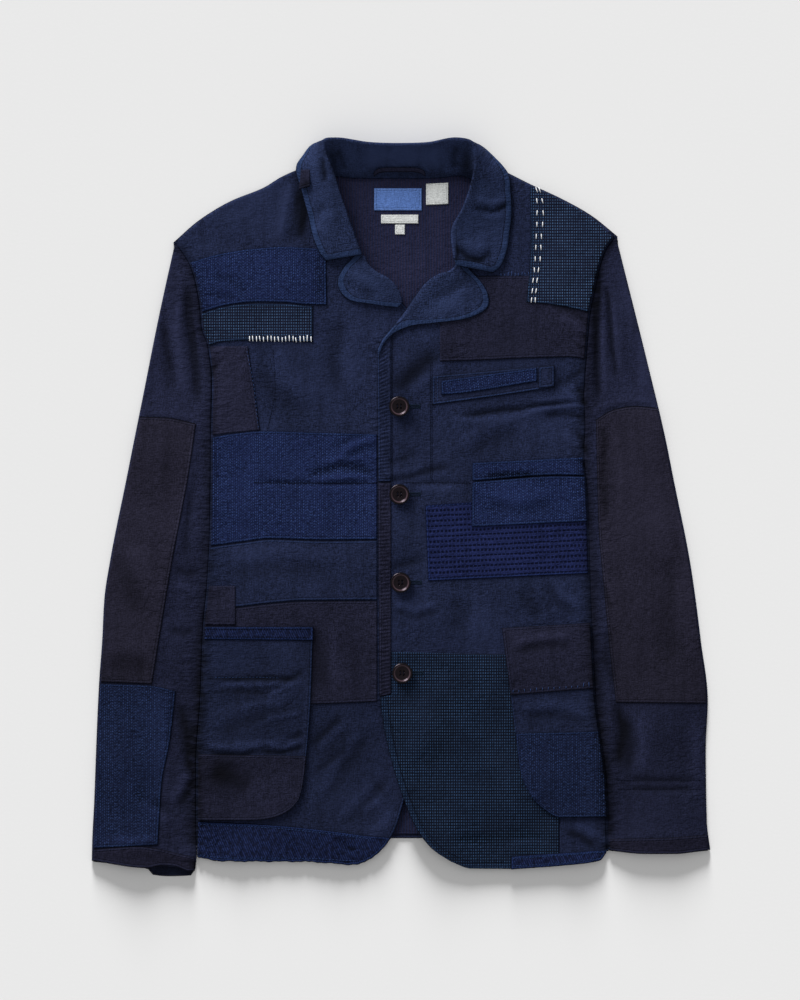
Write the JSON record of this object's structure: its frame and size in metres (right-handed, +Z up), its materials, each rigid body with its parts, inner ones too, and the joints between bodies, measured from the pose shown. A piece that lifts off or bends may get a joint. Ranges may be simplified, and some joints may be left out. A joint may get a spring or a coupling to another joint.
{
  "type": "patched boro jacket, laid flat",
  "caption": "Work jacket pieced from dark blue and brown-black patches, with a notched collar, a buttoned front and patch pockets, laid flat on its back.",
  "frame": {"origin": "middle of the jacket's box, on the surface that it lies on", "axes": "+X to the wearer's left, +Y from the hem to the collar, +Z up from the surface"},
  "size_m": [0.619, 0.7379, 0.028],
  "materials": {
    "plain_navy": "slub-woven cotton, matt, over-dyed indigo",
    "sleeve_navy": "slub-woven cotton, matt, deep indigo",
    "brown_navy": "plain-woven cotton, matt, brown-black",
    "blue_herringbone": "small herringbone weave, matt, bright indigo",
    "dotted_navy": "dark cloth with rows of small light-blue dots",
    "sashiko_blue": "raised sashiko weave in rows of dashes and dots",
    "hem_blue": "crinkled blue cotton",
    "collar_navy": "woven wool and cotton, edges worn lighter",
    "striped_lining": "dark lining with fine lengthwise stripes",
    "label_blue": "woven ribbon, blank",
    "label_white": "woven ribbon, blank",
    "dark_horn": "polished dark brown, coppery at the rim"
  },
  "bodies": {
    "root": {"back_panel": "plain_navy", "back_lining": "striped_lining", "sleeve_right_under": "sleeve_navy", "sleeve_left_under": "sleeve_navy", "front_right": "plain_navy", "front_left": "plain_navy", "sleeve_right_upper": "sleeve_navy", "sleeve_left_upper": "sleeve_navy", "sleeve_right_elbow": "brown_navy", "sleeve_right_lower": "blue_herringbone", "cuff_right": "brown_navy", "sleeve_left_elbow": "brown_navy", "cuff_left": "brown_navy", "front_right_shoulder_patch": "blue_herringbone", "front_right_dotted_patch": "dotted_navy", "front_right_side_patch": "brown_navy", "front_right_chest_patch": "blue_herringbone", "front_right_middle_band": "plain_navy", "front_right_brown_panel": "brown_navy", "front_right_small_patch": "brown_navy", "front_right_hem_band": "hem_blue", "pocket_right_body": "plain_navy", "pocket_right_band": "hem_blue", "pocket_right_lower": "brown_navy", "front_left_shoulder_patch": "dotted_navy", "front_left_chest_patch": "brown_navy", "welt_pocket": "plain_navy", "welt_patch": "blue_herringbone", "welt_tab": "plain_navy", "front_left_pocket_flap": "blue_herringbone", "front_left_pocket_patch": "blue_herringbone", "front_left_sashiko_patch": "sashiko_blue", "front_left_dotted_panel": "dotted_navy", "front_left_hem_piece": "plain_navy", "front_left_hem_band": "hem_blue", "edge_strip_upper": "plain_navy", "edge_strip_lower": "brown_navy", "pocket_left_body": "plain_navy", "pocket_left_top": "brown_navy", "pocket_left_lower": "blue_herringbone", "collar": "collar_navy", "collar_pieced_end": "brown_navy", "lapel_right": "collar_navy", "lapel_left": "collar_navy", "label_main": "label_blue", "label_strip": "label_white", "label_tab": "label_white", "label_square": "label_white", "hanger_loop": "striped_lining", "button_1": "dark_horn", "button_2": "dark_horn", "button_3": "dark_horn", "button_4": "dark_horn"}
  },
  "joints": []
}
